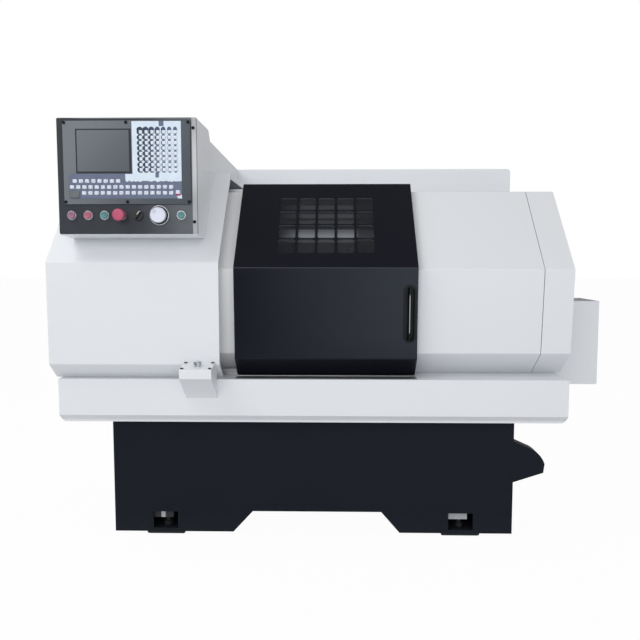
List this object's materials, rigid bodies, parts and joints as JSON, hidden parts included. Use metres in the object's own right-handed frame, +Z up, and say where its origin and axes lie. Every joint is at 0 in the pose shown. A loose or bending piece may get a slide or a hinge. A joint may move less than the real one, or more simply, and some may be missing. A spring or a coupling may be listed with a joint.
{
  "type": "enclosed turning lathe",
  "caption": "Enclosed computer-controlled lathe with a sliding windowed door, a side control panel over the headstock cover, a drip tray and an arched base.",
  "frame": {"origin": "on the floor, below the middle of the whole machine's bounding box", "axes": "+X along the spindle from the headstock to the tailstock, +Y from the operator to the back, +Z up"},
  "size_m": [1.924, 1.17, 1.436],
  "materials": {
    "base_paint": "semi-gloss textured",
    "zinc_steel": "satin",
    "white_paint": "satin powder coat",
    "cast_paint": "satin",
    "ground_iron": "ground",
    "turned_steel": "turned",
    "hard_steel": "ground",
    "belt": "matte",
    "motor_black": "satin",
    "motor_cast": "satin",
    "wheel_iron": "machined",
    "door_paint": "gloss",
    "pane": "clear",
    "black_plastic": "fine texture",
    "nylon": "plain",
    "panel_paint": "fine texture",
    "bezel_paint": "satin",
    "display": "matte screen",
    "keypad_film": "film",
    "key_film": "film",
    "silver_ring": "satin",
    "pink_cap": "gloss",
    "red_cap": "gloss",
    "green_cap": "gloss",
    "dial_black": "satin",
    "dial_white": "satin",
    "black_screw": "black oxide",
    "drive_case": "plain"
  },
  "bodies": {
    "frame": {"base_frame": "base_paint", "leveling_feet": "zinc_steel", "coolant_tank": "white_paint", "drip_tray": "white_paint", "bed": "cast_paint", "headstock": "cast_paint", "spindle_motor": "motor_cast", "drive_belt": "belt", "z_motor": "motor_black", "left_frame": "white_paint", "right_cover": "white_paint", "end_cover": "white_paint", "roof_panel": "white_paint", "headstock_cover": "white_paint", "door_rails": "zinc_steel", "control_box": "white_paint", "hood": "white_paint", "control_panel": "panel_paint", "controller": "bezel_paint", "screen": "display", "keypad": "keypad_film", "keys": "key_film", "button_bezels": "silver_ring", "panel_screws": "black_screw", "button_box": "white_paint", "motor_guard": "white_paint", "rear_cabinet": "white_paint", "servo_drives": "drive_case"},
    "spindle": {"spindle": "turned_steel", "chuck_body": "turned_steel", "spindle_pulley": "wheel_iron"},
    "jaw_1": {"chuck_jaw_1": "hard_steel"},
    "jaw_2": {"chuck_jaw_2": "hard_steel"},
    "jaw_3": {"chuck_jaw_3": "hard_steel"},
    "motor_shaft": {"motor_pulley": "wheel_iron"},
    "carriage_screw": {"z_screw": "turned_steel"},
    "carriage": {"saddle": "ground_iron", "x_motor": "motor_black"},
    "cross_screw": {"x_screw": "turned_steel"},
    "cross_slide": {"cross_slide": "ground_iron"},
    "tool_turret": {"turret": "turned_steel", "cutting_tools": "hard_steel"},
    "tailstock": {"tailstock": "cast_paint"},
    "tail_wheel": {"tailstock_wheel": "wheel_iron"},
    "quill": {"quill": "turned_steel", "tailstock_center": "hard_steel"},
    "door": {"door_shell": "door_paint", "door_window": "pane", "door_handle": "black_plastic", "door_glides": "nylon"},
    "off_button": {"off_button": "pink_cap"},
    "stop_button": {"stop_button": "red_cap"},
    "start_button": {"start_button": "green_cap"},
    "light_button": {"light_button": "green_cap"},
    "emergency_stop": {"emergency_stop": "red_cap"},
    "mode_switch": {"mode_switch": "dial_black"},
    "handwheel": {"handwheel": "dial_white"},
    "box_button": {"box_button": "silver_ring"},
    "cabinet_door": {"cabinet_door": "white_paint"},
    "cabinet_latch": {"cabinet_latch": "black_plastic"}
  },
  "joints": [
    {"name": "spindle_spin", "type": "hinge", "parent": "frame", "child": "spindle", "pos_m": [-0.5, 0.02, 0.99], "axis": [1, 0, 0], "continuous": true},
    {"name": "jaw_1_slide", "type": "slide", "parent": "spindle", "child": "jaw_1", "axis": [0, 0, 1], "range_m": [-0.004, 0.004]},
    {"name": "jaw_2_slide", "type": "slide", "parent": "spindle", "child": "jaw_2", "axis": [0, -0.866, -0.5], "range_m": [-0.004, 0.004]},
    {"name": "jaw_3_slide", "type": "slide", "parent": "spindle", "child": "jaw_3", "axis": [0, 0.866, -0.5], "range_m": [-0.004, 0.004]},
    {"name": "motor_spin", "type": "hinge", "parent": "frame", "child": "motor_shaft", "pos_m": [-0.8, 0.29, 0.552], "axis": [1, 0, 0], "continuous": true},
    {"name": "carriage_screw_spin", "type": "hinge", "parent": "frame", "child": "carriage_screw", "pos_m": [0.2, -0.15, 0.69], "axis": [1, 0, 0], "range_deg": [-5760, 7200]},
    {"name": "carriage_slide", "type": "slide", "parent": "frame", "child": "carriage", "axis": [1, 0, 0], "range_m": [-0.2, 0.16]},
    {"name": "cross_screw_spin", "type": "hinge", "parent": "carriage", "child": "cross_screw", "pos_m": [0.06, -0.1, 0.861], "axis": [0, 1, 0], "range_deg": [-6480, 3600]},
    {"name": "cross_slide", "type": "slide", "parent": "carriage", "child": "cross_slide", "axis": [0, 1, 0], "range_m": [-0.05, 0.09]},
    {"name": "turret_index", "type": "hinge", "parent": "cross_slide", "child": "tool_turret", "pos_m": [0.06, -0.11, 0.95], "axis": [0, 0, 1], "continuous": true},
    {"name": "tailstock_slide", "type": "slide", "parent": "frame", "child": "tailstock", "axis": [1, 0, 0], "range_m": [-0.05, 0.04]},
    {"name": "tail_wheel_spin", "type": "hinge", "parent": "tailstock", "child": "tail_wheel", "pos_m": [0.66, 0.02, 0.99], "axis": [-1, 0, 0], "range_deg": [0, 4320]},
    {"name": "quill_slide", "type": "slide", "parent": "tailstock", "child": "quill", "axis": [-1, 0, 0], "range_m": [0, 0.06]},
    {"name": "door_slide", "type": "slide", "parent": "frame", "child": "door", "axis": [1, 0, 0], "range_m": [-0.56, 0]},
    {"name": "off_press", "type": "slide", "parent": "frame", "child": "off_button", "axis": [0, 1, 0], "range_m": [0, 0.003], "stiffness_N_per_m": 800, "springref_m": -0.003},
    {"name": "stop_press", "type": "slide", "parent": "frame", "child": "stop_button", "axis": [0, 1, 0], "range_m": [0, 0.003], "stiffness_N_per_m": 800, "springref_m": -0.003},
    {"name": "start_press", "type": "slide", "parent": "frame", "child": "start_button", "axis": [0, 1, 0], "range_m": [0, 0.003], "stiffness_N_per_m": 800, "springref_m": -0.003},
    {"name": "light_press", "type": "slide", "parent": "frame", "child": "light_button", "axis": [0, 1, 0], "range_m": [0, 0.003], "stiffness_N_per_m": 800, "springref_m": -0.003},
    {"name": "emergency_stop_press", "type": "slide", "parent": "frame", "child": "emergency_stop", "axis": [0, 1, 0], "range_m": [0, 0.005]},
    {"name": "mode_switch_turn", "type": "hinge", "parent": "frame", "child": "mode_switch", "pos_m": [-0.63798, -0.54, 1.1285], "axis": [0, 1, 0], "range_deg": [-45, 45]},
    {"name": "handwheel_spin", "type": "hinge", "parent": "frame", "child": "handwheel", "pos_m": [-0.57002, -0.54, 1.1285], "axis": [0, 1, 0], "continuous": true},
    {"name": "box_button_press", "type": "slide", "parent": "frame", "child": "box_button", "axis": [0, 0, -1], "range_m": [0, 0.003], "stiffness_N_per_m": 1000, "springref_m": -0.003},
    {"name": "cabinet_hinge", "type": "hinge", "parent": "frame", "child": "cabinet_door", "pos_m": [-0.513, 0.577, 0.985], "axis": [0, 0, 1], "range_deg": [0, 110]},
    {"name": "cabinet_latch_turn", "type": "hinge", "parent": "cabinet_door", "child": "cabinet_latch", "pos_m": [0.366, 0.577, 0.985], "axis": [0, 1, 0], "range_deg": [-90, 0]}
  ],
  "couplings": [
    {"joint": "jaw_2_slide", "follows": "jaw_1_slide", "ratio": 1},
    {"joint": "jaw_3_slide", "follows": "jaw_1_slide", "ratio": 1},
    {"joint": "motor_spin", "follows": "spindle_spin", "ratio": 1.6},
    {"joint": "carriage_screw_spin", "follows": "carriage_slide", "rad_per_m": -628.32},
    {"joint": "cross_screw_spin", "follows": "cross_slide", "rad_per_m": -1256.6},
    {"joint": "tail_wheel_spin", "follows": "quill_slide", "rad_per_m": 1256.6}
  ]
}
